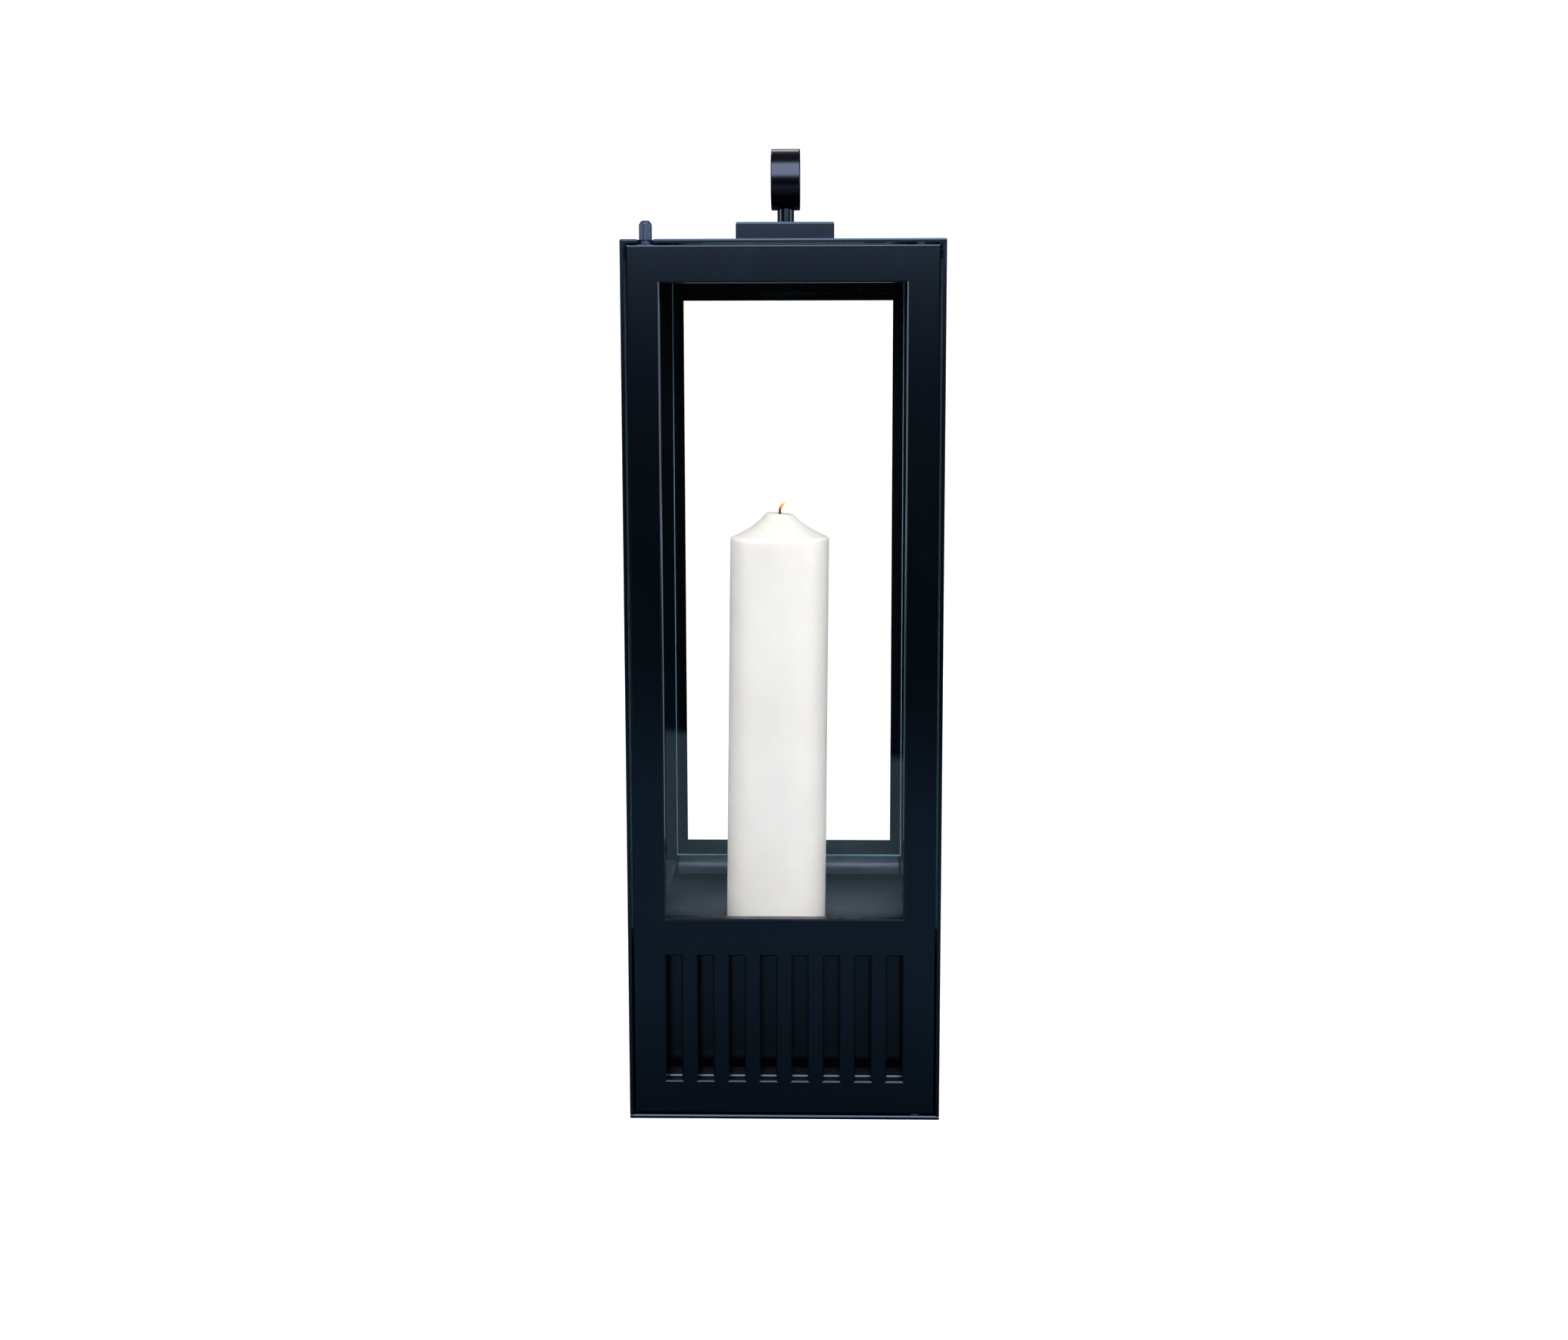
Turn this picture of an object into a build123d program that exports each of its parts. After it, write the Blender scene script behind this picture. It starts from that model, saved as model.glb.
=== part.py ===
from build123d import *
import os

# A tall square candle lantern of coated aluminium sheet, in millimetres.
# The origin is the middle of the underside, +Z is up and the door faces -Y.

# Case
case_width = 250.0
case_depth = 250.0
case_height = 700.0
sheet = 3.0
case_edge_round = 1.0
plate_ease_top = 0.6
plate_ease_side = 1.3
base_ease_top = 0.7
base_ease_front = 1.0

# Door, an inset slab with a window above a row of air slots
door_gap = 1.5
door_thickness = 8.0
door_setback = 1.0
door_ease_front = 1.3
door_ease_depth = 0.6
door_opening_chamfer = 1.0
opening_chamfer = 0.5
slot_count = 8
slot_bottom = 31.5
middle_rail = 30.4

# Windows, alike in the door and in the three walls, set in from the case's outer faces
window_side_margin = 30.0
window_head_margin = 33.0
window_bottom = 166.0

# Glass panes, which stand on ledges and are clipped at the top
pane_thickness = 4.0
pane_side_lap = 10.0
pane_foot_lap = 14.0
pane_head_lap = 20.0
pane_edge_chamfer = 0.5

# Ledges, angles with one leg under the pane and one leg down the wall
ledge_end_gap = 3.0
ledge_reach = 18.0
ledge_drop = 13.0
ledge_sheet = 2.0
ledge_root_round = 1.5
ledge_ease_top = 0.8
ledge_ease_front = 1.6

# Clips and their studs and nuts
clip_sheet = 1.5
clip_width = 16.0
clip_inset = 35.0
clip_lap = 4.0
clip_head_room = 0.8
clip_foot = 7.0
clip_pane_gap = 0.2
stud_diameter = 3.0
stud_length = 6.0
clip_hole_play = 0.2
thread_play = 0.05
clip_nut_flats = 5.5
clip_nut_height = 2.4

# Candle shelf, a folded stool that stands on the bottom plate
shelf_top = 132.0
shelf_side_gap = 6.0
shelf_front_gap = 21.0
shelf_back_gap = 4.0
shelf_sheet = 1.5
shelf_bend = 2.0
apron_foot = 26.5
apron_lip = 8.0
lip_ease_top = 0.6
lip_ease_front = 1.1
shelf_back_flange = 12.0

# Candle and wick
candle_x = -9.0
candle_y = -12.0
candle_diameter = 85.0
candle_shoulder = 331.0
candle_height = 351.0
candle_tip_diameter = 23.0
candle_shoulder_round = 3.0
candle_foot_round = 2.0
cheek_foot_slope = 18.0
dish_diameter = 20.0
dish_depth = 1.5
wick_diameter = 2.4
wick_play = 0.1
wick_foot = 2.0
wick_bend_radius = 8.0
wick_bend_angle = 50.0
wick_straight = 2.0
wick_tail = 4.0

# Hood over the vent in the top plate, and what holds it up
hood_width = 80.0
hood_sheet = 3.0
hood_skirt = 15.0
hood_gap = 6.0
hood_ease_top = 0.8
hood_ease_side = 1.7
vent_diameter = 56.0
spacer_inset = 10.0
spacer_diameter = 8.0
hood_stud_diameter = 4.0
hood_stud_tail = 6.0
hood_stud_play = 0.1
hood_nut_flats = 7.0
hood_nut_height = 3.2

# Ring handle, its collar and its screw
ring_diameter = 50.0
ring_wall = 5.0
ring_width = 24.0
ring_edge_round = 1.0
collar_diameter = 14.0
collar_height = 13.0
collar_edge_round = 0.6
saddle_play = 0.05
swivel_gap = 0.2
swivel_play = 0.05
handle_screw_diameter = 8.0
handle_head_diameter = 13.0
handle_head_recess = 0.2
handle_socket_flats = 5.0
handle_socket_depth = 3.2
handle_screw_tail = 1.2
handle_washer_diameter = 16.0
handle_washer_thickness = 1.6
handle_nut_flats = 13.0
handle_nut_height = 6.5

# Pull pin and door pivots, as far in from either side edge of the door
pin_inset = 15.2
pull_head_diameter = 10.0
pull_head_height = 15.0
pull_head_sink = 1.0
pull_shank_diameter = 8.0
pull_tail_diameter = 5.0
pull_tail_length = 12.0
pull_chamfer = 1.0
notch_play = 2.1
pivot_diameter = 5.0
pivot_depth = 12.0
pivot_end_gap = 0.5
pivot_play = 0.05
pin_seat_play = 0.02
pivot_washer_diameter = 8.0
pivot_washer_play = 0.2

# Magnetic catch on the bottom plate behind the pull side of the door
catch_width = 22.0
catch_depth = 10.0
catch_height = 18.0
catch_edge_round = 1.0
catch_gap = 0.2
magnet_diameter = 10.0
magnet_depth = 4.0
magnet_play = 0.05
strike_width = 20.0
strike_height = 14.0
strike_thickness = 1.5
strike_corner_round = 2.0

# Places that follow from the sizes above
case_inner_x = case_width / 2 - sheet
case_inner_y = case_depth / 2 - sheet
wall_height = case_height - 2 * sheet
case_middle = case_height / 2
window_top = case_height - window_head_margin
window_height = window_top - window_bottom
window_middle = (window_top + window_bottom) / 2
door_width = case_width - 2 * (sheet + door_gap)
door_foot = sheet + door_gap
door_head = case_height - sheet - door_gap
door_height = door_head - door_foot
door_front_y = -case_depth / 2 + door_setback
door_middle_y = door_front_y + door_thickness / 2
door_inner_y = door_front_y + door_thickness
slot_top = window_bottom - middle_rail
slot_height = slot_top - slot_bottom
door_window_width = case_width - 2 * window_side_margin
slot_width = door_window_width / (2 * slot_count - 1)
pin_offset = door_width / 2 - pin_inset
pane_foot = window_bottom - pane_foot_lap
pane_head = window_top + pane_head_lap
clip_web_foot = pane_head + clip_head_room
clip_head = clip_web_foot + clip_sheet + clip_foot
clip_reach = pane_thickness + clip_pane_gap
stud_height = clip_web_foot + clip_sheet + clip_foot / 2
shelf_width = 2 * (case_inner_x - shelf_side_gap)
shelf_front = door_inner_y + shelf_front_gap
shelf_back = case_inner_y - shelf_back_gap
candle_head = shelf_top + candle_height
spacer_pitch = hood_width - 2 * spacer_inset
hood_skirt_foot = case_height + hood_gap
hood_top = hood_skirt_foot + hood_skirt
hood_ceiling = hood_top - hood_sheet
ring_foot = hood_top + collar_height
ring_middle = ring_foot + ring_diameter / 2
ring_bore = ring_diameter - 2 * ring_wall
catch_front_y = door_inner_y + strike_thickness + catch_gap
catch_middle = sheet + catch_height / 2

os.makedirs("parts", exist_ok=True)


def save(part, label):
    part.label = label
    export_step(part, f"parts/{label}.step")


def wall_plane(x, y, along, inward):
    """Plane on a wall's inner face: x runs along the wall, y is the height, z points inward."""
    return Plane(origin=(x, y, 0), x_dir=along, z_dir=inward)


def cross_plane(wall, along=0.0):
    """Plane across a wall, some way along it: x points inward, y is the height."""
    return Plane(origin=wall.from_local_coords(Vector(along, 0)), x_dir=wall.z_dir, z_dir=-wall.x_dir)


walls = {
    "left": wall_plane(-case_inner_x, 0, (0, 1, 0), (1, 0, 0)),
    "right": wall_plane(case_inner_x, 0, (0, -1, 0), (-1, 0, 0)),
    "back": wall_plane(0, case_inner_y, (1, 0, 0), (0, -1, 0)),
    "door": wall_plane(0, door_inner_y, (-1, 0, 0), (0, 1, 0)),
}
wall_lengths = {"left": case_depth, "right": case_depth, "back": 2 * case_inner_x}
side_window_width = case_depth - 2 * window_side_margin
window_widths = {
    "left": side_window_width, "right": side_window_width,
    "back": door_window_width, "door": door_window_width,
}
pane_widths = {side: width + 2 * pane_side_lap for side, width in window_widths.items()}


def clip_places(side):
    """Where the two clip studs of a wall stand, along the wall and up it."""
    along = pane_widths[side] / 2 - clip_inset
    return [(-along, stud_height), (along, stud_height)]


# Top plate: vent, hood stud holes, door pivot hole and the notch for the pull pin
notch_radius = pull_shank_diameter / 2 + notch_play
notch_run = door_middle_y + case_depth / 2
with BuildPart() as top_plate:
    with BuildSketch(Plane.XY.offset(case_height - sheet)):
        Rectangle(case_width, case_depth)
        Circle(vent_diameter / 2, mode=Mode.SUBTRACT)
        with GridLocations(spacer_pitch, spacer_pitch, 2, 2):
            Circle(hood_stud_diameter / 2 + hood_stud_play, mode=Mode.SUBTRACT)
        with Locations((pin_offset, door_middle_y)):
            Circle(pivot_diameter / 2 + pivot_play, mode=Mode.SUBTRACT)
        with Locations((-pin_offset, door_middle_y)):
            Circle(notch_radius, mode=Mode.SUBTRACT)
        with Locations((-pin_offset, -case_depth / 2 + notch_run / 2)):
            Rectangle(2 * notch_radius, notch_run, mode=Mode.SUBTRACT)
    extrude(amount=sheet)
    corners = [e for e in top_plate.edges().filter_by(Axis.Z)
               if abs(e.center().X) > case_inner_x and abs(e.center().Y) > case_inner_y]
    fillet(corners, case_edge_round)
    upper = top_plate.faces().sort_by(Axis.Z)[-1]
    chamfer(upper.outer_wire().edges(), plate_ease_top, plate_ease_side, reference=upper)
save(top_plate.part, "top_plate")

# Bottom plate, flat underneath, with the lower pivot hole
with BuildPart() as bottom_plate:
    with BuildSketch():
        RectangleRounded(case_width, case_depth, case_edge_round)
        with Locations((pin_offset, door_middle_y)):
            Circle(pivot_diameter / 2 + pivot_play, mode=Mode.SUBTRACT)
    extrude(amount=sheet)
    upper = bottom_plate.faces().sort_by(Axis.Z)[-1]
    front_edge = upper.edges().filter_by(Axis.X).sort_by(Axis.Y)[0]
    chamfer(front_edge, base_ease_top, base_ease_front, reference=upper)
save(bottom_plate.part, "bottom_plate")

# Left, right and back walls: a sheet with the window and two weld studs for the pane's clips
for side, length in wall_lengths.items():
    with BuildPart() as wall:
        with BuildSketch(walls[side]):
            with Locations((0, case_middle)):
                Rectangle(length, wall_height)
            with Locations((0, window_middle)):
                Rectangle(window_widths[side], window_height, mode=Mode.SUBTRACT)
        extrude(amount=-sheet)
        outer = wall.faces().sort_by(Axis(walls[side].origin, walls[side].z_dir))[0]
        chamfer(outer.inner_wires()[0].edges(), opening_chamfer)
        if side != "back":
            outer = wall.faces().sort_by(Axis(walls[side].origin, walls[side].z_dir))[0]
            fillet(outer.outer_wire().edges().filter_by(Axis.Z), case_edge_round)
        with BuildSketch(walls[side]):
            with Locations(*clip_places(side)):
                Circle(stud_diameter / 2)
        extrude(amount=stud_length)
    save(wall.part, f"{side}_panel")

# Door: slab with the window, the row of slots, pin seats in its top and bottom edges, and weld studs
slot_places = [((i - (slot_count - 1) / 2) * 2 * slot_width, (slot_bottom + slot_top) / 2)
               for i in range(slot_count)]
with BuildPart() as door_panel:
    with BuildSketch(walls["door"]):
        with Locations((0, (door_foot + door_head) / 2)):
            Rectangle(door_width, door_height)
        with Locations((0, window_middle)):
            Rectangle(door_window_width, window_height, mode=Mode.SUBTRACT)
        with Locations(*slot_places):
            Rectangle(slot_width, slot_height, mode=Mode.SUBTRACT)
    extrude(amount=-door_thickness)
    front = door_panel.faces().sort_by(Axis.Y)[0]
    rim = front.outer_wire().edges()
    opening_edges = [e for wire in front.inner_wires() for e in wire.edges()]
    chamfer(rim, door_ease_front, door_ease_depth, reference=front)
    chamfer(opening_edges, door_opening_chamfer)
    with BuildSketch(walls["door"]):
        with Locations(*clip_places("door")):
            Circle(stud_diameter / 2)
    extrude(amount=stud_length)
    with BuildSketch(Plane.XY.offset(door_head)):
        with Locations((pin_offset, door_middle_y)):
            Circle(pivot_diameter / 2 + pin_seat_play)
    extrude(amount=-pivot_depth, mode=Mode.SUBTRACT)
    with BuildSketch(Plane.XY.offset(door_head)):
        with Locations((-pin_offset, door_middle_y)):
            Circle(pull_tail_diameter / 2 + pin_seat_play)
    extrude(amount=-pull_tail_length, mode=Mode.SUBTRACT)
    with BuildSketch(Plane.XY.offset(door_foot)):
        with Locations((pin_offset, door_middle_y)):
            Circle(pivot_diameter / 2 + pin_seat_play)
    extrude(amount=pivot_depth, mode=Mode.SUBTRACT)
save(door_panel.part, "door_panel")

# Panes, ledges, clips and clip nuts of the three walls and of the door
for side, wall in walls.items():
    with BuildPart() as pane:
        with BuildSketch(wall):
            with Locations((0, (pane_foot + pane_head) / 2)):
                Rectangle(pane_widths[side], pane_head - pane_foot)
        extrude(amount=pane_thickness)
        chamfer(pane.edges(), pane_edge_chamfer)
    save(pane.part, f"{side}_pane")

    with BuildPart() as ledge:
        with BuildSketch(cross_plane(wall)) as angle:
            with BuildLine():
                Polyline(
                    (0, pane_foot), (ledge_reach - ledge_ease_top, pane_foot),
                    (ledge_reach, pane_foot - ledge_ease_front), (ledge_reach, pane_foot - ledge_sheet),
                    (ledge_sheet, pane_foot - ledge_sheet), (ledge_sheet, pane_foot - ledge_drop),
                    (0, pane_foot - ledge_drop), close=True)
            make_face()
            root = angle.vertices().sort_by_distance((ledge_sheet, pane_foot - ledge_sheet, 0))[0]
            fillet(root, ledge_root_round)
        extrude(amount=pane_widths[side] / 2 - ledge_end_gap, both=True)
    save(ledge.part, f"{side}_ledge")

    with BuildPart() as clips:
        for along, _ in clip_places(side):
            with BuildSketch(cross_plane(wall, along)):
                with BuildLine():
                    Polyline(
                        (0, clip_web_foot), (0, clip_head), (clip_sheet, clip_head),
                        (clip_sheet, clip_web_foot + clip_sheet),
                        (clip_reach + clip_sheet, clip_web_foot + clip_sheet),
                        (clip_reach + clip_sheet, pane_head - clip_lap), (clip_reach, pane_head - clip_lap),
                        (clip_reach, clip_web_foot), close=True)
                make_face()
            extrude(amount=clip_width / 2, both=True)
        with BuildSketch(wall):
            with Locations(*clip_places(side)):
                Circle(stud_diameter / 2 + clip_hole_play)
        extrude(amount=clip_sheet, mode=Mode.SUBTRACT)
    save(clips.part, f"{side}_clips")

    with BuildPart() as nuts:
        with BuildSketch(wall.offset(clip_sheet)):
            with Locations(*clip_places(side)):
                RegularPolygon(clip_nut_flats / 2, 6, major_radius=False)
                Circle(stud_diameter / 2 + thread_play, mode=Mode.SUBTRACT)
        extrude(amount=clip_nut_height)
    save(nuts.part, f"{side}_clip_nuts")

# Candle shelf: top, two side legs, a front apron with an out-turned lip and a short back flange
shelf_length = shelf_back - shelf_front
shelf_middle_y = (shelf_back + shelf_front) / 2
leg_height = shelf_top - sheet
shelf_inner_width = shelf_width - 2 * shelf_sheet
with BuildPart() as candle_shelf:
    with BuildSketch(Plane.XY.offset(sheet)):
        with Locations((0, shelf_middle_y)):
            Rectangle(shelf_width, shelf_length)
    extrude(amount=leg_height)
    bends = candle_shelf.faces().sort_by(Axis.Z)[-1].edges() + candle_shelf.edges().filter_by(Axis.Z)
    fillet(bends, shelf_bend)
    with BuildSketch(Plane.XY.offset(sheet)):
        with Locations((0, shelf_middle_y)):
            Rectangle(shelf_inner_width, shelf_length - 2 * shelf_sheet)
    extrude(amount=leg_height - shelf_sheet, mode=Mode.SUBTRACT)
    with BuildSketch(Plane.XZ.offset(-shelf_back)):
        with Locations((0, sheet)):
            Rectangle(shelf_inner_width - 2 * shelf_bend, leg_height - shelf_back_flange,
                      align=(Align.CENTER, Align.MIN))
    extrude(amount=shelf_sheet, mode=Mode.SUBTRACT)
    with BuildSketch(Plane.XZ.offset(-shelf_front)):
        with Locations((0, sheet)):
            Rectangle(shelf_inner_width - 2 * shelf_bend, apron_foot - sheet,
                      align=(Align.CENTER, Align.MIN))
    extrude(amount=-shelf_sheet, mode=Mode.SUBTRACT)
    with BuildSketch(Plane.XY.offset(apron_foot)):
        with Locations((0, shelf_front + shelf_sheet)):
            Rectangle(shelf_inner_width - 2 * shelf_bend, apron_lip + shelf_sheet,
                      align=(Align.CENTER, Align.MAX))
    extrude(amount=shelf_sheet)
    lip_nose = candle_shelf.faces().sort_by(Axis.Y)[0]
    nose_top = lip_nose.edges().sort_by(Axis.Z)[-1]
    chamfer(nose_top, lip_ease_front, lip_ease_top, reference=lip_nose)
save(candle_shelf.part, "candle_shelf")

# Candle: straight sides, a rounded shoulder and hollow cheeks up to a small tip with a melted dish
candle_radius = candle_diameter / 2
tip_radius = candle_tip_diameter / 2
dish_radius = dish_diameter / 2
dish_foot = candle_height - dish_depth
cheek_foot = (candle_radius, candle_shoulder)
cheek_start = Vector(-1, 0).rotate(Axis.Z, -cheek_foot_slope)
candle_plane = Plane(origin=(candle_x, candle_y, shelf_top), x_dir=(1, 0, 0), z_dir=(0, -1, 0))
with BuildPart() as candle:
    with BuildSketch(candle_plane) as candle_half:
        with BuildLine():
            Line((0, 0), (candle_radius, 0))
            Line((candle_radius, 0), cheek_foot)
            TangentArc(cheek_foot, (tip_radius, candle_height), tangent=cheek_start)
            Line((tip_radius, candle_height), (dish_radius, candle_height))
            TangentArc((0, dish_foot), (dish_radius, candle_height), tangent=(1, 0))
            Line((0, dish_foot), (0, 0))
        make_face()
        fillet(candle_half.vertices().sort_by_distance((candle_radius, 0, 0))[0], candle_foot_round)
        fillet(candle_half.vertices().sort_by_distance((*cheek_foot, 0))[0], candle_shoulder_round)
    revolve(axis=Axis((candle_x, candle_y, 0), (0, 0, 1)))
    with BuildSketch(Plane.XY.offset(shelf_top)):
        with Locations((candle_x, candle_y)):
            Circle(wick_diameter / 2 + wick_play)
    extrude(amount=candle_height, mode=Mode.SUBTRACT)
save(candle.part, "candle")

# Wick: straight through the candle, then bent over above the tip
with BuildPart() as wick:
    with BuildLine(Plane.XZ.offset(-candle_y)):
        core = Line((candle_x, shelf_top + wick_foot), (candle_x, candle_head + wick_straight))
        bend = JernArc(core @ 1, core % 1, wick_bend_radius, -wick_bend_angle)
        Line(bend @ 1, bend @ 1 + (bend % 1) * wick_tail)
    with BuildSketch(Plane.XY.offset(shelf_top + wick_foot)):
        with Locations((candle_x, candle_y)):
            Circle(wick_diameter / 2)
    sweep()
save(wick.part, "wick")

# Hood: an inverted tray with four weld studs that reach down through the top plate
hood_inner = hood_width - 2 * hood_sheet
hood_stud_foot = case_height - sheet - hood_stud_tail
with BuildPart() as cap_hood:
    with BuildSketch(Plane.XY.offset(hood_skirt_foot)):
        Rectangle(hood_width, hood_width)
    extrude(amount=hood_skirt)
    crown = cap_hood.faces().sort_by(Axis.Z)[-1]
    chamfer(crown.edges(), hood_ease_top, hood_ease_side, reference=crown)
    fillet(cap_hood.edges().filter_by(Axis.Z), case_edge_round)
    with BuildSketch(Plane.XY.offset(hood_skirt_foot)):
        Rectangle(hood_inner, hood_inner)
    extrude(amount=hood_skirt - hood_sheet, mode=Mode.SUBTRACT)
    with BuildSketch(Plane.XY.offset(hood_ceiling)):
        Circle(handle_screw_diameter / 2 + swivel_play)
    extrude(amount=hood_sheet, mode=Mode.SUBTRACT)
    with BuildSketch(Plane.XY.offset(hood_stud_foot)):
        with GridLocations(spacer_pitch, spacer_pitch, 2, 2):
            Circle(hood_stud_diameter / 2)
    extrude(amount=hood_ceiling - hood_stud_foot)
save(cap_hood.part, "cap_hood")

# Spacers between the top plate and the hood's ceiling, and the nuts under the top plate
with BuildPart() as cap_spacers:
    with BuildSketch(Plane.XY.offset(case_height)):
        with GridLocations(spacer_pitch, spacer_pitch, 2, 2):
            Circle(spacer_diameter / 2)
            Circle(hood_stud_diameter / 2 + hood_stud_play, mode=Mode.SUBTRACT)
    extrude(amount=hood_ceiling - case_height)
save(cap_spacers.part, "cap_spacers")

with BuildPart() as cap_nuts:
    with BuildSketch(Plane.XY.offset(case_height - sheet)):
        with GridLocations(spacer_pitch, spacer_pitch, 2, 2):
            RegularPolygon(hood_nut_flats / 2, 6, major_radius=False)
            Circle(hood_stud_diameter / 2 + thread_play, mode=Mode.SUBTRACT)
    extrude(amount=-hood_nut_height)
save(cap_nuts.part, "cap_nuts")

# Ring handle: a flat band with its axis along X and a countersunk seat in its foot
head_top = ring_foot + ring_wall - handle_head_recess
head_height = (handle_head_diameter - handle_screw_diameter) / 2
seat_shank_radius = handle_screw_diameter / 2 + pin_seat_play
seat_head_radius = handle_head_diameter / 2 + pin_seat_play
with BuildPart() as ring_handle:
    with BuildSketch(Plane.YZ.offset(-ring_width / 2)):
        with Locations((0, ring_middle)):
            Circle(ring_diameter / 2)
            Circle(ring_bore / 2, mode=Mode.SUBTRACT)
    extrude(amount=ring_width)
    fillet(ring_handle.edges().filter_by(GeomType.CIRCLE), ring_edge_round)
    with BuildSketch(Plane.XZ):
        with BuildLine():
            Polyline(
                (0, ring_foot - ring_wall), (seat_shank_radius, ring_foot - ring_wall),
                (seat_shank_radius, head_top - head_height), (seat_head_radius, head_top),
                (seat_head_radius, ring_foot + 2 * ring_wall), (0, ring_foot + 2 * ring_wall), close=True)
        make_face()
    revolve(axis=Axis.Z, mode=Mode.SUBTRACT)
save(ring_handle.part, "ring_handle")

# Collar under the ring, hollowed on top to fit the band
with BuildPart() as handle_collar:
    with BuildSketch(Plane.XY.offset(hood_top + swivel_gap)):
        Circle(collar_diameter / 2)
        Circle(handle_screw_diameter / 2 + pin_seat_play, mode=Mode.SUBTRACT)
    extrude(amount=collar_height + ring_wall)
    with BuildSketch(Plane.YZ.offset(-ring_width / 2)):
        with Locations((0, ring_middle)):
            Circle(ring_diameter / 2 + saddle_play)
    extrude(amount=ring_width, mode=Mode.SUBTRACT)
    foot_rim = handle_collar.faces().sort_by(Axis.Z)[0].outer_wire().edges()
    fillet(foot_rim, collar_edge_round)
save(handle_collar.part, "handle_collar")

# Countersunk screw, washer and nut that hold the ring to the hood
washer_top = hood_ceiling - swivel_gap
nut_top = washer_top - handle_washer_thickness
screw_foot = nut_top - handle_nut_height - handle_screw_tail
with BuildPart() as handle_screw:
    with BuildSketch(Plane.XZ):
        with BuildLine():
            Polyline(
                (0, screw_foot), (handle_screw_diameter / 2, screw_foot),
                (handle_screw_diameter / 2, head_top - head_height), (handle_head_diameter / 2, head_top),
                (0, head_top), close=True)
        make_face()
    revolve(axis=Axis.Z)
    with BuildSketch(Plane.XY.offset(head_top)):
        RegularPolygon(handle_socket_flats / 2, 6, major_radius=False)
    extrude(amount=-handle_socket_depth, mode=Mode.SUBTRACT)
save(handle_screw.part, "handle_screw")

with BuildPart() as handle_washer:
    with BuildSketch(Plane.XY.offset(nut_top)):
        Circle(handle_washer_diameter / 2)
        Circle(handle_screw_diameter / 2 + thread_play, mode=Mode.SUBTRACT)
    extrude(amount=handle_washer_thickness)
save(handle_washer.part, "handle_washer")

with BuildPart() as handle_nut:
    with BuildSketch(Plane.XY.offset(nut_top)):
        RegularPolygon(handle_nut_flats / 2, 6, major_radius=False)
        Circle(handle_screw_diameter / 2 + thread_play, mode=Mode.SUBTRACT)
    extrude(amount=-handle_nut_height)
save(handle_nut.part, "handle_nut")

# Pull pin on the door's top edge: tail in the door, shank and the head's foot in the notch
pull_head_foot = case_height - pull_head_sink
with BuildPart() as pull_pin:
    with BuildSketch(Plane.XY.offset(door_head - pull_tail_length)):
        with Locations((-pin_offset, door_middle_y)):
            Circle(pull_tail_diameter / 2)
    extrude(amount=pull_tail_length)
    with BuildSketch(Plane.XY.offset(door_head)):
        with Locations((-pin_offset, door_middle_y)):
            Circle(pull_shank_diameter / 2)
    extrude(amount=pull_head_foot - door_head)
    with BuildSketch(Plane.XY.offset(pull_head_foot)):
        with Locations((-pin_offset, door_middle_y)):
            Circle(pull_head_diameter / 2)
    extrude(amount=pull_head_height)
    chamfer(pull_pin.faces().sort_by(Axis.Z)[-1].edges(), pull_chamfer)
save(pull_pin.part, "pull_pin")

# Door pivots: pins seated in the door's edges that turn in the plates, and a washer at each
pivot_heights = {
    "top": (door_head - pivot_depth, case_height - pivot_end_gap),
    "bottom": (pivot_end_gap, door_foot + pivot_depth),
}
washer_feet = {"top": door_head, "bottom": sheet}
for end, (foot, head) in pivot_heights.items():
    with BuildPart() as pivot_pin:
        with BuildSketch(Plane.XY.offset(foot)):
            with Locations((pin_offset, door_middle_y)):
                Circle(pivot_diameter / 2)
        extrude(amount=head - foot)
    save(pivot_pin.part, f"pivot_pin_{end}")
    with BuildPart() as pivot_washer:
        with BuildSketch(Plane.XY.offset(washer_feet[end])):
            with Locations((pin_offset, door_middle_y)):
                Circle(pivot_washer_diameter / 2)
                Circle(pivot_diameter / 2 + pivot_play, mode=Mode.SUBTRACT)
        extrude(amount=door_gap - pivot_washer_play)
    save(pivot_washer.part, f"pivot_washer_{end}")

# Magnetic catch: a block on the bottom plate, its magnet, and the strike plate on the door
with BuildPart() as catch_block:
    with BuildSketch(Plane.XY.offset(sheet)):
        with Locations((-pin_offset, catch_front_y + catch_depth / 2)):
            Rectangle(catch_width, catch_depth)
    extrude(amount=catch_height)
    upper = catch_block.faces().sort_by(Axis.Z)[-1].edges() + catch_block.edges().filter_by(Axis.Z)
    fillet(upper, catch_edge_round)
    with BuildSketch(Plane.XZ.offset(-catch_front_y)):
        with Locations((-pin_offset, catch_middle)):
            Circle(magnet_diameter / 2 + magnet_play)
    extrude(amount=-magnet_depth, mode=Mode.SUBTRACT)
save(catch_block.part, "catch_block")

with BuildPart() as catch_magnet:
    with BuildSketch(Plane.XZ.offset(-catch_front_y)):
        with Locations((-pin_offset, catch_middle)):
            Circle(magnet_diameter / 2)
    extrude(amount=-magnet_depth)
save(catch_magnet.part, "catch_magnet")

with BuildPart() as strike_plate:
    with BuildSketch(walls["door"]):
        with Locations((pin_offset, catch_middle)):
            RectangleRounded(strike_width, strike_height, strike_corner_round)
    extrude(amount=strike_thickness)
save(strike_plate.part, "strike_plate")
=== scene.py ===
"""Candle lantern: a tall coated case with four glass windows, a candle inside and a ring on top.

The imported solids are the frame. Their surfaces get their finishes here, and the candle, its twisted
wick, the rolled ledge under the back pane, the turned pull pin, the nuts and the stud threads are made
here.
"""
import math

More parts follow.
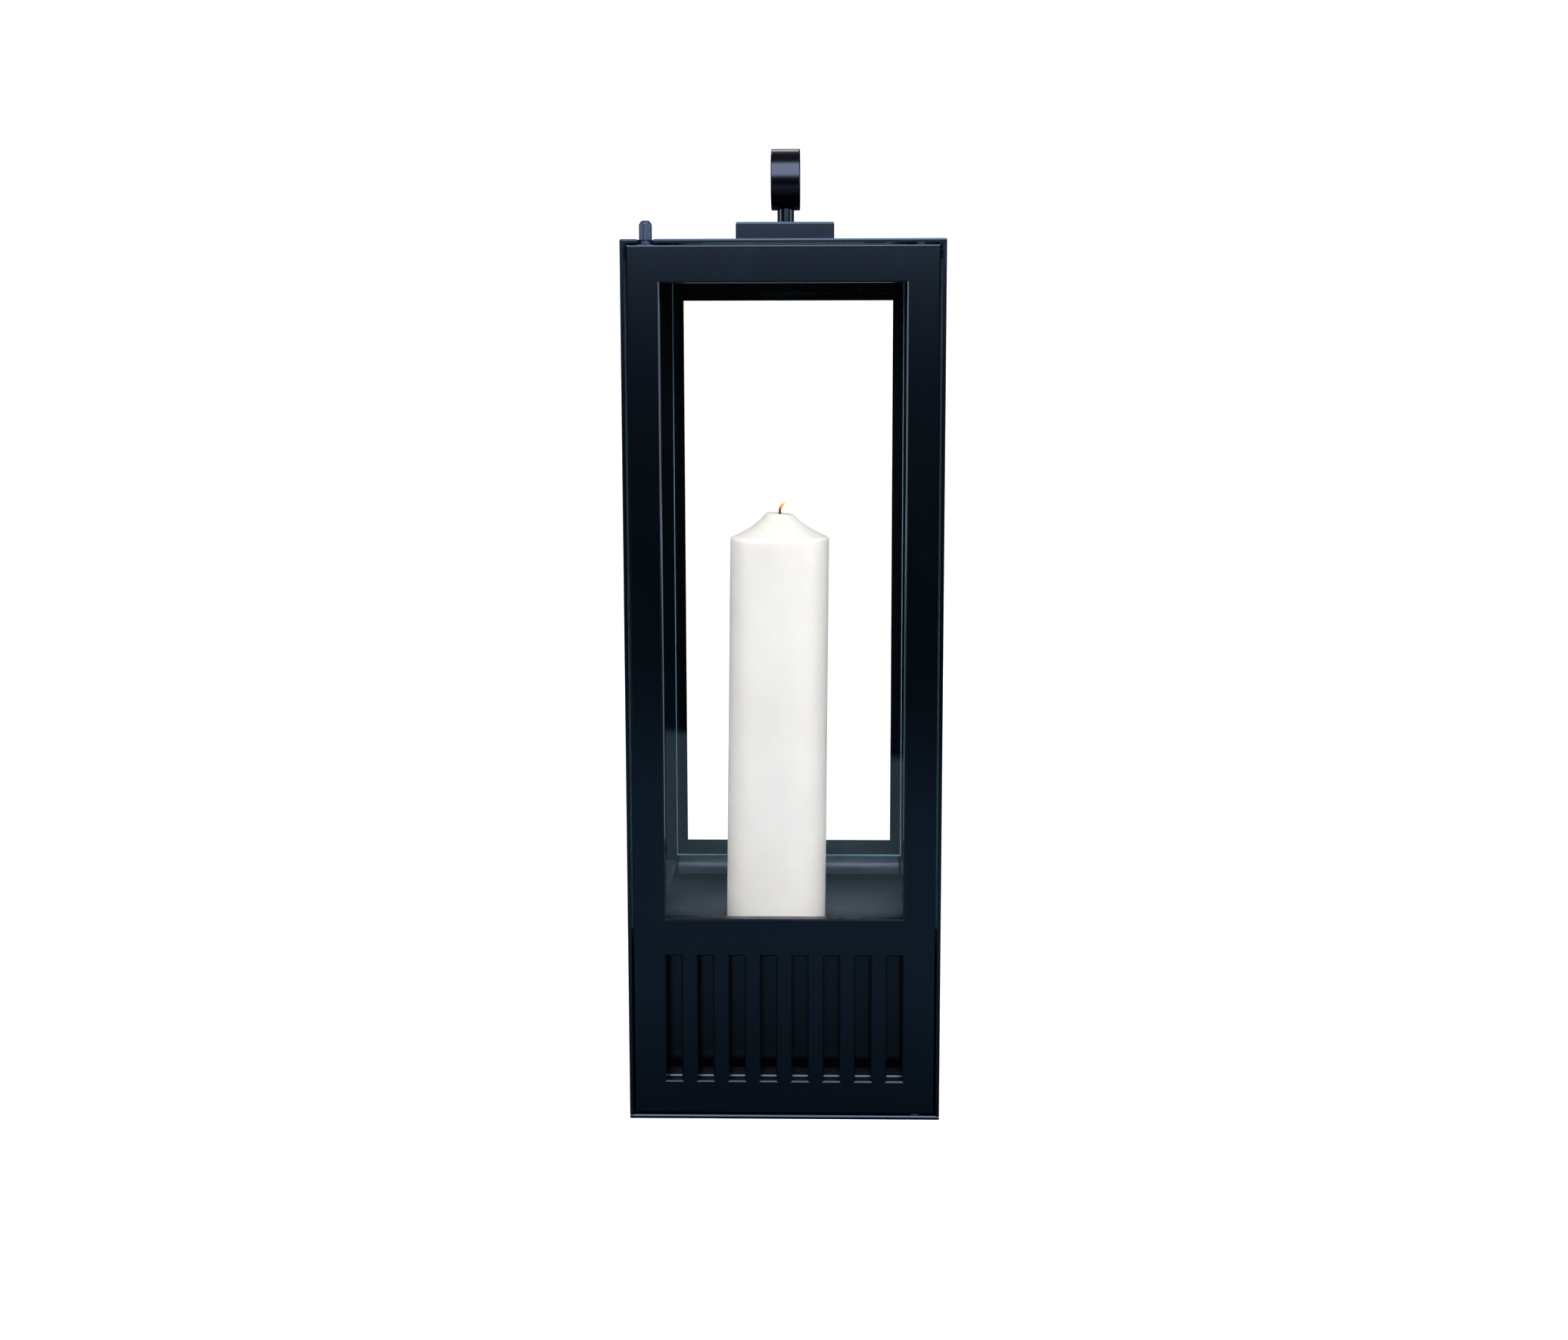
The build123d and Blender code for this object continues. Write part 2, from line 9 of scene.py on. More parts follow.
import bmesh
import bpy
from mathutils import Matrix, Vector


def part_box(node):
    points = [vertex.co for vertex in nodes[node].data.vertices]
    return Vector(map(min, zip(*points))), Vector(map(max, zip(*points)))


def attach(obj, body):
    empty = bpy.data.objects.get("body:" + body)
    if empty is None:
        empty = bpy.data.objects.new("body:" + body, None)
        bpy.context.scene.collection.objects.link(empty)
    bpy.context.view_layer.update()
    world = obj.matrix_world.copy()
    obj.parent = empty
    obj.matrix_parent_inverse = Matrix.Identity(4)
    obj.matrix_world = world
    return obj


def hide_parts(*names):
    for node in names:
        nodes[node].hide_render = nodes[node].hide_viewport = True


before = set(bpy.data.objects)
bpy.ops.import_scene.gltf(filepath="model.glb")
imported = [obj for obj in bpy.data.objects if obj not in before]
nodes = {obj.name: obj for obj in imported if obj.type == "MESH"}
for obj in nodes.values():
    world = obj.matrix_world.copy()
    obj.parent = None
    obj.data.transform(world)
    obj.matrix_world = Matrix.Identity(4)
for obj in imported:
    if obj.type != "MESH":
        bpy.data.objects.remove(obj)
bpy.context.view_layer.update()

MM = 0.001
FULL_TURN = 2 * math.pi
QUARTER_TURN = math.pi / 2
SHARP_EDGE = math.radians(35.0)

# Candle: side, foot, shoulder and hollow cheek, then the rim, the dish and the bore of its tip
CANDLE_LEAN = math.radians(0.64)
CANDLE_SIDES = 128
CANDLE_TAPER = 0.5 * MM
CANDLE_SHOULDER = 331.0 * MM
FOOT_ROUND = 2.0 * MM
SHOULDER_ROUND = 3.0 * MM
CHEEK_SLOPE = math.radians(18.0)
TIP_RADIUS = 11.5 * MM
TIP_RIM = 0.9 * MM
RIM_SLOPE = math.tan(math.radians(4.0))
DISH_DEPTH = 1.5 * MM
CANDLE_BORE = 1.3 * MM
FOOT_STEPS = 4
SIDE_STEPS = 30
SHOULDER_STEPS = 8
CHEEK_STEPS = 20
DISH_STEPS = 6

# How the candle strays from round: an oval that winds as it rises, three lobes, and a little off all round
OVAL = 0.12 * MM
OVAL_WINDING = 9.0
LOBES = 0.07 * MM
LOBES_START = 1.3
DRAWN_IN = 0.2 * MM

# Wick: its strands, then how far it stands straight above the wax, its bend and the end beyond the bend
WICK_STRANDS = 3
WICK_STRAND = 0.62 * MM
WICK_LAY = 0.58 * MM
WICK_PITCH = 6.0 * MM
WICK_POINT_STEP = 0.35 * MM
STRAND_SIDES = 8
WICK_RISE = 2.0 * MM
WICK_BEND = 8.0 * MM
WICK_TURN = math.radians(50.0)
WICK_END = 3.4 * MM
WICK_RISE_STEPS = 25
WICK_BEND_STEPS = 12

# Ledge under the back pane: where its front starts to turn down, the tight bend there and the wide roll
LEDGE_SHEET = 2.0 * MM
LEDGE_ROOT = 1.5 * MM
LEDGE_ROOT_EASE = 0.3
LEDGE_FLAT = 22.0 * MM
LEDGE_BEND = 2.4 * MM
LEDGE_ROLL = 18.0 * MM
ROLL_START = math.radians(27.0)
ROLL_END = math.radians(-4.0)
BEND_STEPS = 6
ROLL_STEPS = 14

# Pull pin, from its tail in the door to its crown, whose points lie in from the top radius and below the top
PIN_SIDES = 48
PIN_EASE = 0.3 * MM
PIN_TAIL = 12.0 * MM
PIN_TAIL_RADIUS = 2.5 * MM
PIN_SHANK = 3.5 * MM
PIN_SHANK_RADIUS = 4.0 * MM
PIN_HEAD_RADIUS = 5.0 * MM
PIN_TAPER = 3.0 * MM
PIN_TAPER_STEPS = 6
PIN_TAPER_STRAIGHT = 0.4
PIN_TOP_RADIUS = 3.4 * MM
PIN_CROWN = 0.5 * MM
PIN_CROWN_POINTS = ((0.4 * MM, 0.15 * MM), (1.0 * MM, 0.0))

# Nuts: across flats, height, thread and its pitch, and the tail of thread that stands out of the nut
CLIP_NUT = {"flats": 5.5 * MM, "height": 2.4 * MM, "thread": 3.0 * MM, "pitch": 0.5 * MM, "tail": 1.9 * MM}
HOOD_NUT = {"flats": 7.0 * MM, "height": 3.2 * MM, "thread": 4.0 * MM, "pitch": 0.7 * MM, "tail": 2.5 * MM}
HANDLE_NUT = {
    "flats": 13.0 * MM, "height": 6.5 * MM, "thread": 8.0 * MM, "pitch": 1.25 * MM, "tail": 0.9 * MM}
BORE_SIDES = 24
THREAD_SINK = 0.04 * MM
RIDGE_SHARE = 0.3
RIDGE_SIDES = 4
RIDGE_POINTS = 20

# The ball that turns a nut's corners down: its reach in corner radii, its rise in nut heights, and the turn
# that keeps its rows of points off the corners
BALL_REACH = 1.03
BALL_RISE = 0.88
BALL_TURN = math.radians(5.0)
BALL_SEGMENTS = 36
BALL_RINGS = 19

# The way in from each wall with a window
INWARD = {
    "left": Vector((1, 0, 0)), "right": Vector((-1, 0, 0)),
    "back": Vector((0, -1, 0)), "door": Vector((0, 1, 0))}
DOWN = Vector((0, 0, -1))

# Finishes: how far under the shelf's top the dust and painted light are whole and over what height they come
# in, how wide the ground edge of the glass is and where clear glass begins, and the height over which the
# candle's painted warm glow comes in at its tip
DUST_AND_LIGHT_UNDER_TOP = 1.0 * MM
DUST_AND_LIGHT_FADE = 1.0 * MM
GROUND_EDGE = 0.4 * MM
CLEAR_GLASS = 0.75 * MM
WARM_TIP = 26.0 * MM

# Floor: where the light mirrored from it ends in front, along a slant, how that is shaded close to the case,
# and the white that the eye sees of it, near and far
FLOOR_REACH = 8.0
PAPER_END = -1.59
PAPER_FADE = 0.05
PAPER_SLANT = 0.57
SHADE_FROM = 0.14
SHADE_TO = 0.55
SHADE_LEFT = 0.33
WHITE_FROM = 0.7
WHITE_TO = 2.0
WHITE_NEAR = 0.84
WHITE_FAR = 1.2

# Background: its own level, and what it gains behind the case, at the sides and overhead
SKY_LEVEL = 0.010
SKY_BEHIND = 0.09
SKY_ASIDE = 0.15
SKY_ABOVE = 0.10
SKY_SEEN = 1.3

# Lamp colours
COOL_WHITE = (0.82, 0.90, 1.0)
WARM_WHITE = (1.0, 0.985, 0.97)

# Camera, at the photograph's place: sensor and lens in millimetres, turns in degrees
CAMERA_PLACE = (0.0248, -1.4530, 0.5792)
CAMERA_TILT = 6.70
CAMERA_ROLL = 0.085
CAMERA_YAW = 1.044
CAMERA_SENSOR = 36.0
CAMERA_LENS = 39.368
CAMERA_SHIFT = -0.045
CAMERA_NEAR = 0.01


class Wire:
    """One socket of a node tree. Sums and products of wires add their Math nodes."""

    def __init__(self, tree, socket=None):
        self.tree = tree
        self.socket = socket

    def node(self, kind, settings=None, inputs=None, out=0):
        """Adds a node: first its settings, then the values or links of its inputs, as a list where an input
        takes several links. Gives back the wire of one output."""
        made = self.tree.nodes.new(kind)
        for name, value in (settings or {}).items():
            if name == "stops":
                ramp = made.color_ramp.elements
                while len(ramp) < len(value):
                    ramp.new(1.0)
                for element, (place, colour) in zip(ramp, value):
                    element.position = place
                    element.color = colour
            else:
                setattr(made, name, value)
        for key, value in (inputs or {}).items():
            for given in value if isinstance(value, list) else [value]:
                if isinstance(given, Wire):
                    self.tree.links.new(given.socket, made.inputs[key])
                else:
                    made.inputs[key].default_value = given
        return Wire(self.tree, made.outputs[out] if made.outputs else None)

    def math(self, operation, *values):
        return self.node("ShaderNodeMath", {"operation": operation}, dict(enumerate(values)))

    def __add__(self, other):
        return self.math("ADD", self, other)

    __radd__ = __add__

    def __sub__(self, other):
        return self.math("SUBTRACT", self, other)

    def __rsub__(self, other):
        return self.math("SUBTRACT", other, self)

    def __mul__(self, other):
        return self.math("MULTIPLY", self, other)

    __rmul__ = __mul__

    def __truediv__(self, other):
        return self.math("DIVIDE", self, other)

    def __rtruediv__(self, other):
        return self.math("DIVIDE", other, self)

    def __pow__(self, other):
        return self.math("POWER", self, other)

    def __rpow__(self, other):
        return self.math("POWER", other, self)

    def __abs__(self):
        return self.math("ABSOLUTE", self)

    def least(self, other):
        return self.math("MINIMUM", self, other)

    def between(self, low, high):
        """Goes from low to high as this value goes from 0 to 1."""
        return low + (high - low) * self

    def span(self, low, high, start=0.0, end=1.0):
        """Eases from start to end as the value goes from low to high."""
        return self.node("ShaderNodeMapRange", {"interpolation_type": "SMOOTHSTEP"},
                         {"Value": self, "From Min": low, "From Max": high, "To Min": start, "To Max": end})

    def tint(self, first, second):
        """A colour between two, by this value."""
        return self.node("ShaderNodeMix", {"data_type": "RGBA"}, {0: self, 6: first, 7: second}, 2)

    def grain(self, scale, detail=2.0, roughness=0.5):
        """Cloudy noise on these coordinates."""
        return self.node("ShaderNodeTexNoise", None,
                         {"Vector": self, "Scale": scale, "Detail": detail, "Roughness": roughness})

    def stretched(self, along):
        """The same coordinates, scaled by a different amount along each axis."""
        return self.node("ShaderNodeMapping", None, {"Vector": self, "Scale": along})

    def part(self, axis):
        """One axis of these coordinates."""
        return self.node("ShaderNodeSeparateXYZ", None, {0: self}, "XYZ".index(axis))

    def bump(self, step, strength):
        """A normal for this height, of the given step in metres."""
        return self.node("ShaderNodeBump", None, {"Strength": strength, "Distance": step, "Height": self})


def rgb(red, green, blue):
    return (red, green, blue, 1.0)


def grey(value):
    return rgb(value, value, value)


def new_material(name):
    """An empty material, its tree as a wire, and its Object coordinates."""
    material = bpy.data.materials.new(name)
    material.use_nodes = True
    material.node_tree.nodes.clear()
    tree = Wire(material.node_tree)
    return material, tree, tree.node("ShaderNodeTexCoord", out="Object")


def show(tree, shader):
    """Makes the shader the material's surface."""
    tree.node("ShaderNodeOutputMaterial", None, {"Surface": shader})


def principled(tree, **inputs):
    """A Principled shader, with its inputs named in small letters."""
    names = {key.replace("_", " ").title().replace("Ior", "IOR"): value for key, value in inputs.items()}
    return tree.node("ShaderNodeBsdfPrincipled", None, names)


def powder_coat(name, deep, pale, rough, shine, gleam=rgb(0.52, 0.68, 1.0), dust_and_light_from=None):
    """Satin powder coat: slow drift of colour, fine pebbled skin and faint handling marks. From a height
    given in metres upwards it turns lighter and rougher in clouds: dust and soot, together with painted light
    that lifts the top."""
    material, tree, at = new_material(name)
    drift = at.grain(5.0, detail=3.0).span(0.35, 0.65)
    marks = at.stretched((9.0, 9.0, 3.0)).grain(3.0, detail=4.0, roughness=0.62).span(0.52, 0.74)
    speck = at.grain(420.0)
    skin = at.grain(900.0, detail=1.0) + 0.45 * at.grain(2300.0, detail=0.0)
    colour = (0.75 * drift + 0.25 * speck).tint(deep, pale)
    roughness = (0.6 * speck + 0.4 * marks).between(*rough)
    if dust_and_light_from is not None:
        # Lighter and rougher from the given height up: dust and soot, together with painted light on the
        # shelf's top and the ledges
        cloud = at.grain(18.0, detail=4.0, roughness=0.58).span(0.3, 0.7)
        dust_and_light_film = at.part("Z").span(dust_and_light_from - DUST_AND_LIGHT_FADE, dust_and_light_from) * cloud.between(0.74, 1.0)
        colour = dust_and_light_film.tint(colour, rgb(0.0215, 0.026, 0.036))
        roughness = roughness + 0.126 * dust_and_light_film
    show(tree, principled(
        tree, base_color=colour, roughness=roughness, specular_ior_level=shine, specular_tint=gleam,
        normal=skin.bump(step=0.03 * MM, strength=0.22)))
    return material


def clear_glass(name, along):
    """Float glass: clear faces that mirror more at a slant, and pale blue-green ground edges with a faint
    painted glow. All panes have one size and stand at one height, and the width of these runs along the given
    axis."""
    material, tree, at = new_material(name)
    low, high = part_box("back_pane")
    half_width = (high.x - low.x) / 2
    height = at.part("Z")
    border = (half_width - abs(at.part(along))).least(height - low.z).least(high.z - height)
    edge = border.span(GROUND_EDGE, CLEAR_GLASS, 1.0, 0.0)
    slant = tree.node("ShaderNodeLayerWeight", None, {"Blend": 0.5}, "Facing")
    smear = at.stretched((14.0, 14.0, 5.0)).grain(1.0, detail=3.0).span(0.5, 0.8)
    mirror = tree.node("ShaderNodeBsdfAnisotropic", None,
                       {"Color": rgb(0.96, 1.0, 0.99), "Roughness": smear.between(0.004, 0.024)})
    through = tree.node("ShaderNodeBsdfTransparent", None, {"Color": rgb(0.991, 0.997, 0.995)})
    share = (slant ** 5.0).between(0.04, 1.0) * smear.between(0.94, 1.06)
    face = tree.node("ShaderNodeMixShader", None, {0: share, 1: through, 2: mirror})
    ground = at.grain(1500.0)
    # Ground edge: its own pale blue-green, plus a faint painted glow from its emission
    rim = principled(
        tree, base_color=ground.tint(rgb(0.12, 0.26, 0.34), rgb(0.26, 0.43, 0.52)),
        roughness=ground.between(0.25, 0.45), emission_color=rgb(0.14, 0.32, 0.42), emission_strength=0.06)
    show(tree, tree.node("ShaderNodeMixShader", None, {0: edge, 1: face, 2: rim}))
    return material


def candle_wax(name, tip):
    """Ivory wax: milky body and slight mottling. A faint painted glow over the whole body lifts its shaded
    sides, and near the tip a warmer, darker colour and a warmer painted glow.
    """
    material, tree, at = new_material(name)
    milk = at.grain(26.0, detail=4.0, roughness=0.6).span(0.35, 0.7)
    streak = at.stretched((60.0, 60.0, 4.0)).grain(1.0, detail=3.0)
    # Painted glow near the tip: over this height it warms both the colour and the emission
    warm = at.part("Z").span(tip - WARM_TIP, tip + 1.0 * MM)
    body = (0.6 * milk + 0.4 * streak).tint(rgb(0.765, 0.68, 0.615), rgb(0.815, 0.73, 0.66))
    skin = 0.7 * at.grain(90.0, detail=3.0) + 0.3 * at.grain(700.0)
    # Emission: a faint painted glow all over the body, warmer at the tip
    show(tree, principled(
        tree, base_color=warm.tint(body, rgb(0.68, 0.62, 0.54)), roughness=milk.between(0.36, 0.52),
        subsurface_weight=0.8, subsurface_radius=(0.9, 0.7, 0.5), subsurface_scale=12.0 * MM,
        emission_color=warm.tint(rgb(0.62, 0.60, 0.57), rgb(0.55, 0.50, 0.41)), emission_strength=0.10,
        normal=skin.bump(step=0.15 * MM, strength=0.25)))
    return material


def wick_cotton(name, foot, tip):
    """Cotton wick: charred where it leaves the wax. Towards its tip there is a painted glow, orange and then
    pale yellow, in both its colour and its emission.
    """
    material, tree, at = new_material(name)
    fibre = at.stretched((1.0, 1.0, 0.4)).grain(2600.0, detail=3.0)
    climb = (at.part("Z") - foot) / (tip - foot) + 0.12 * (fibre - 0.5)
    # Colour: charred near the wax, then orange and pale yellow towards the tip, which is painted glow
    char_and_painted_glow = tree.node("ShaderNodeValToRGB", {"stops": (
        (0.0, rgb(0.34, 0.30, 0.22)), (0.06, rgb(0.055, 0.015, 0.007)), (0.42, rgb(0.16, 0.034, 0.010)),
        (0.70, rgb(0.55, 0.20, 0.05)), (1.0, rgb(0.95, 0.80, 0.52)))}, {0: climb})
    # Emission: painted glow, rising towards the tip
    painted_glow = tree.node("ShaderNodeValToRGB", {"stops": (
        (0.0, grey(0.0)), (0.10, rgb(0.03, 0.006, 0.001)), (0.40, rgb(0.12, 0.022, 0.003)),
        (0.60, rgb(0.85, 0.19, 0.018)), (0.84, rgb(1.0, 0.52, 0.08)),
        (1.0, rgb(1.0, 0.86, 0.50)))}, {0: climb})
    show(tree, principled(
        tree, base_color=char_and_painted_glow, roughness=fibre.between(0.85, 0.75), emission_color=painted_glow,
        emission_strength=1.1, normal=fibre.bump(step=0.05 * MM, strength=0.6)))
    return material


def bright_metal(name, deep, pale, rough, lines):
    """Bare or plated metal with fine working lines, blotches and small scratches."""
    material, tree, at = new_material(name)
    fine = at.stretched(lines).grain(1.0)
    blotch = at.grain(130.0, detail=3.0).span(0.35, 0.7)
    scratch = at.grain(900.0, detail=5.0, roughness=0.7).span(0.6, 0.7)
    roughness = (0.55 * fine + 0.45 * blotch).between(*rough)
    show(tree, principled(
        tree, base_color=(0.5 * fine + 0.5 * blotch).tint(deep, pale), roughness=roughness - 0.06 * scratch,
        metallic=1.0, normal=(fine + 0.3 * scratch).bump(step=0.01 * MM, strength=0.4)))
    return material


def moulded_nylon(name):
    """Black moulded nylon with a waxy skin."""
    material, tree, at = new_material(name)
    cloud = at.grain(300.0, detail=3.0)
    show(tree, principled(
        tree, base_color=cloud.tint(rgb(0.008, 0.009, 0.010), rgb(0.016, 0.017, 0.019)),
        roughness=at.grain(1400.0).between(0.42, 0.54),
        normal=at.grain(1800.0).bump(step=0.01 * MM, strength=0.3)))
    return material


def floor_paper(name):
    """Studio paper: plain white to the eye, with a soft shade round the foot. What the glass and the coat
    mirror of it is dimmer, shaded close to the case, and ends at a slant in front."""
    material, tree, at = new_material(name)
    seen = tree.node("ShaderNodeLightPath", out="Is Camera Ray")
    fibre = at.grain(3.0, detail=3.0)
    spread = (at.part("Y") - PAPER_SLANT * at.part("X")).span(PAPER_END - PAPER_FADE, PAPER_END + PAPER_FADE)
    away = tree.node("ShaderNodeVectorMath", {"operation": "LENGTH"}, {0: at}, 1)
    clear_of_case = away.span(SHADE_FROM, SHADE_TO, SHADE_LEFT, 1.0)
    lit = (spread * clear_of_case * fibre.between(0.92, 1.0)).tint(grey(0.004), rgb(0.25, 0.38, 0.47))
    mirrored = tree.node("ShaderNodeEmission", None, {"Color": lit})
    white = away.span(WHITE_FROM, WHITE_TO, WHITE_NEAR, WHITE_FAR)
    bright = tree.node("ShaderNodeEmission", None, {"Color": grey(1.0), "Strength": white})
    shaded = tree.node("ShaderNodeBsdfDiffuse", None, {"Color": fibre.tint(grey(0.44), grey(0.48))})
    plain = tree.node("ShaderNodeAddShader", None, {0: bright, 1: shaded})
    show(tree, tree.node("ShaderNodeMixShader", None, {0: seen, 1: mirrored, 2: plain}))
    return material


def add_object(name, data):
    made = bpy.data.objects.new(name, data)
    bpy.context.scene.collection.objects.link(made)
    return made


def add_piece(name, mesh, material, body, slot, *replaced):
    """Puts a finished mesh in the scene as a piece that rides on a body."""
    mesh.name = name
    mesh.materials.clear()
    mesh.materials.append(material)
    piece = add_object(name, mesh)
    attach(piece, body)
    if replaced:
        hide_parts(*replaced)


def steps(count, first=1):
    """Even steps of the way from 0 to 1, from the first one wanted to the last."""
    return [i / count for i in range(first, count + 1)]


def axis_of(node):
    """Where a node's upright middle line stands."""
    low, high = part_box(node)
    return (low.x + high.x) / 2, (low.y + high.y) / 2


def plain_mesh(name, shape):
    """Turns a finished shape into a mesh with its faces outwards, smooth across all but the sharp edges."""
    bmesh.ops.recalc_face_normals(shape, faces=shape.faces)
    mesh = bpy.data.meshes.new(name)
    shape.to_mesh(mesh)
    shape.free()
    mesh.shade_smooth()
    mesh.set_sharp_from_angle(angle=SHARP_EDGE)
    return mesh


def turned_mesh(name, rings, sides, place, bored=True):
    """A closed mesh from rings of (radius, height) at each angle, joined ring to ring. With a bore the last
    ring joins the first, and without one both ends are capped."""
    shape = bmesh.new()
    rows = []
    for ring in rings:
        row = []
        for i in range(sides):
            angle = FULL_TURN * i / sides
            radius, height = ring(angle)
            row.append(shape.verts.new(place(radius * math.cos(angle), radius * math.sin(angle), height)))
        rows.append(row)
    pairs = list(zip(rows, rows[1:]))
    if bored:
        pairs.append((rows[-1], rows[0]))
    else:
        shape.faces.new(rows[0])
        shape.faces.new(rows[-1])
    for lower, upper in pairs:
        for i in range(sides):
            j = (i + 1) % sides
            shape.faces.new((lower[i], lower[j], upper[j], upper[i]))
    return plain_mesh(name, shape)


def rolled_ledge_mesh(node):
    """The ledge under the back pane: an angle down the wall whose front edge bends tightly and then rolls
    over in a wide, shallow curve."""
    low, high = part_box(node)
    drop = high.z - low.z
    sheet, root = LEDGE_SHEET, LEDGE_ROOT
    eased = LEDGE_ROOT_EASE * root
    outer = [(0.0, -drop), (0.0, -sheet - root), (0.0, 0.0), (sheet + root, 0.0)]
    inner = [(sheet, -drop), (sheet, -sheet - root), (sheet + eased, -sheet - eased), (sheet + root, -sheet)]
    bend_middle = Vector((LEDGE_FLAT, -LEDGE_BEND))
    towards = Vector((math.cos(ROLL_START), math.sin(ROLL_START)))
    roll_middle = bend_middle + (LEDGE_BEND - LEDGE_ROLL) * towards
    arcs = [(bend_middle, LEDGE_BEND, QUARTER_TURN, ROLL_START, steps(BEND_STEPS, 0)),
            (roll_middle, LEDGE_ROLL, ROLL_START, ROLL_END, steps(ROLL_STEPS))]
    for middle, radius, start, end, shares in arcs:
        for share in shares:
            angle = start + (end - start) * share
            outward = Vector((math.cos(angle), math.sin(angle)))
            outer.append(middle + radius * outward)
            inner.append(middle + (radius - sheet) * outward)
    shape = bmesh.new()
    ends = []
    for x in (low.x, high.x):
        ends.append([[shape.verts.new((x, high.y - out, high.z + up)) for out, up in chain]
                     for chain in (outer, inner)])
    (outer_a, inner_a), (outer_b, inner_b) = ends
    for i in range(len(outer) - 1):
        j = i + 1
        shape.faces.new((outer_a[i], outer_a[j], outer_b[j], outer_b[i]))
        shape.faces.new((inner_a[i], inner_b[i], inner_b[j], inner_a[j]))
        shape.faces.new((outer_a[i], inner_a[i], inner_a[j], outer_a[j]))
        shape.faces.new((outer_b[i], outer_b[j], inner_b[j], inner_b[i]))
    for i in (0, -1):
        shape.faces.new((outer_a[i], outer_b[i], inner_b[i], inner_a[i]))
    return plain_mesh(node, shape)


def pull_pin_mesh():
    """The pull pin, turned from bar: tail in the door, shank in the notch, head with a tapered top."""
    low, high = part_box("pull_pin")
    x, y = axis_of("pull_pin")
    foot, top = low.z, high.z
    seat = foot + PIN_TAIL
    head = seat + PIN_SHANK
    outline = []
    for radius, start, end in ((PIN_TAIL_RADIUS, foot, seat), (PIN_SHANK_RADIUS, seat, head),
                               (PIN_HEAD_RADIUS, head, top - PIN_TAPER)):
        outline += [(radius - PIN_EASE, start), (radius, start + PIN_EASE), (radius, end)]
    for share in steps(PIN_TAPER_STEPS):
        curved = PIN_TAPER_STRAIGHT * share + (1 - PIN_TAPER_STRAIGHT) * share ** 2
        outline.append((PIN_HEAD_RADIUS - (PIN_HEAD_RADIUS - PIN_TOP_RADIUS) * curved,
                        top - PIN_TAPER * (1 - share) - PIN_CROWN))
    outline += [(PIN_TOP_RADIUS - inset, top - down) for inset, down in PIN_CROWN_POINTS]
    rings = [lambda angle, spot=spot: spot for spot in outline]
    return turned_mesh(
        "pull_pin", rings, PIN_SIDES, lambda dx, dy, z: Vector((x + dx, y + dy, z)), bored=False)


def lean(x, y, z, axis, foot):
    """A point of the candle or wick, moved over with the candle's lean."""
    return Vector((axis[0] + x + (z - foot) * math.tan(CANDLE_LEAN), axis[1] + y, z))


def candle_outline(foot, top, radius):
    """Half the candle's section as (radius, height): up the side, over the cheek, down the dish and bore."""
    shoulder = foot + CANDLE_SHOULDER
    top_radius = radius - CANDLE_TAPER
    dish_radius = TIP_RADIUS - TIP_RIM
    away = Vector((-math.cos(CHEEK_SLOPE), math.sin(CHEEK_SLOPE)))
    upward = Vector((math.sin(CHEEK_SLOPE), math.cos(CHEEK_SLOPE)))
    corner = Vector((top_radius, shoulder))
    chord = Vector((TIP_RADIUS, top)) - corner
    bend = chord.length_squared / (2 * chord.dot(upward))
    whole_turn = 2 * math.atan2(chord.dot(upward), chord.dot(away))
    shoulder_turn = QUARTER_TURN - CHEEK_SLOPE
    tangent = SHOULDER_ROUND * math.tan(shoulder_turn / 2)
    first_turn = tangent / bend
    side_foot, side_head = foot + FOOT_ROUND, shoulder - tangent

    outline = []
    for share in steps(FOOT_STEPS, 0):
        turn = QUARTER_TURN * share
        outline.append((radius - FOOT_ROUND * (1 - math.sin(turn)), foot + FOOT_ROUND * (1 - math.cos(turn))))
    for share in steps(SIDE_STEPS):
        outline.append((radius - CANDLE_TAPER * share, side_foot + (side_head - side_foot) * share))
    for share in steps(SHOULDER_STEPS):
        turn = shoulder_turn * share
        outline.append((top_radius - SHOULDER_ROUND * (1 - math.cos(turn)),
                        side_head + SHOULDER_ROUND * math.sin(turn)))
    for share in steps(CHEEK_STEPS):
        turn = first_turn + (whole_turn - first_turn) * share
        point = corner + bend * (math.sin(turn) * away + (1 - math.cos(turn)) * upward)
        outline.append((point.x, point.y))
    for share in steps(DISH_STEPS, 0):
        outline.append((dish_radius - (dish_radius - CANDLE_BORE) * share,
                        top - DISH_DEPTH * math.sin(QUARTER_TURN * share)))
    return outline + [(CANDLE_BORE, foot)]


def candle_mesh():
    """The candle: tapered sides, rounded shoulder, hollow cheeks and a shallow melted dish round the wick."""
    low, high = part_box("candle")
    foot, top = low.z, high.z
    axis = axis_of("candle")
    cheek_foot = foot + CANDLE_SHOULDER

    def ring(radius, height):
        near_tip = max(0.0, (height - cheek_foot) / (top - cheek_foot))
        outside = 1.0 if radius > 2 * CANDLE_BORE else 0.0

        def at_angle(angle):
            oval = OVAL * math.sin(2 * angle + OVAL_WINDING * height)
            lobes = LOBES * math.sin(3 * angle + LOBES_START)
            sink = RIM_SLOPE * radius * math.cos(angle) * near_tip ** 3
            return radius + outside * (oval + lobes - DRAWN_IN), height - outside * sink

        return at_angle

    rings = [ring(radius, height) for radius, height in candle_outline(foot, top, (high.x - low.x) / 2)]
    return turned_mesh("candle", rings, CANDLE_SIDES, lambda x, y, z: lean(x, y, z, axis, foot))


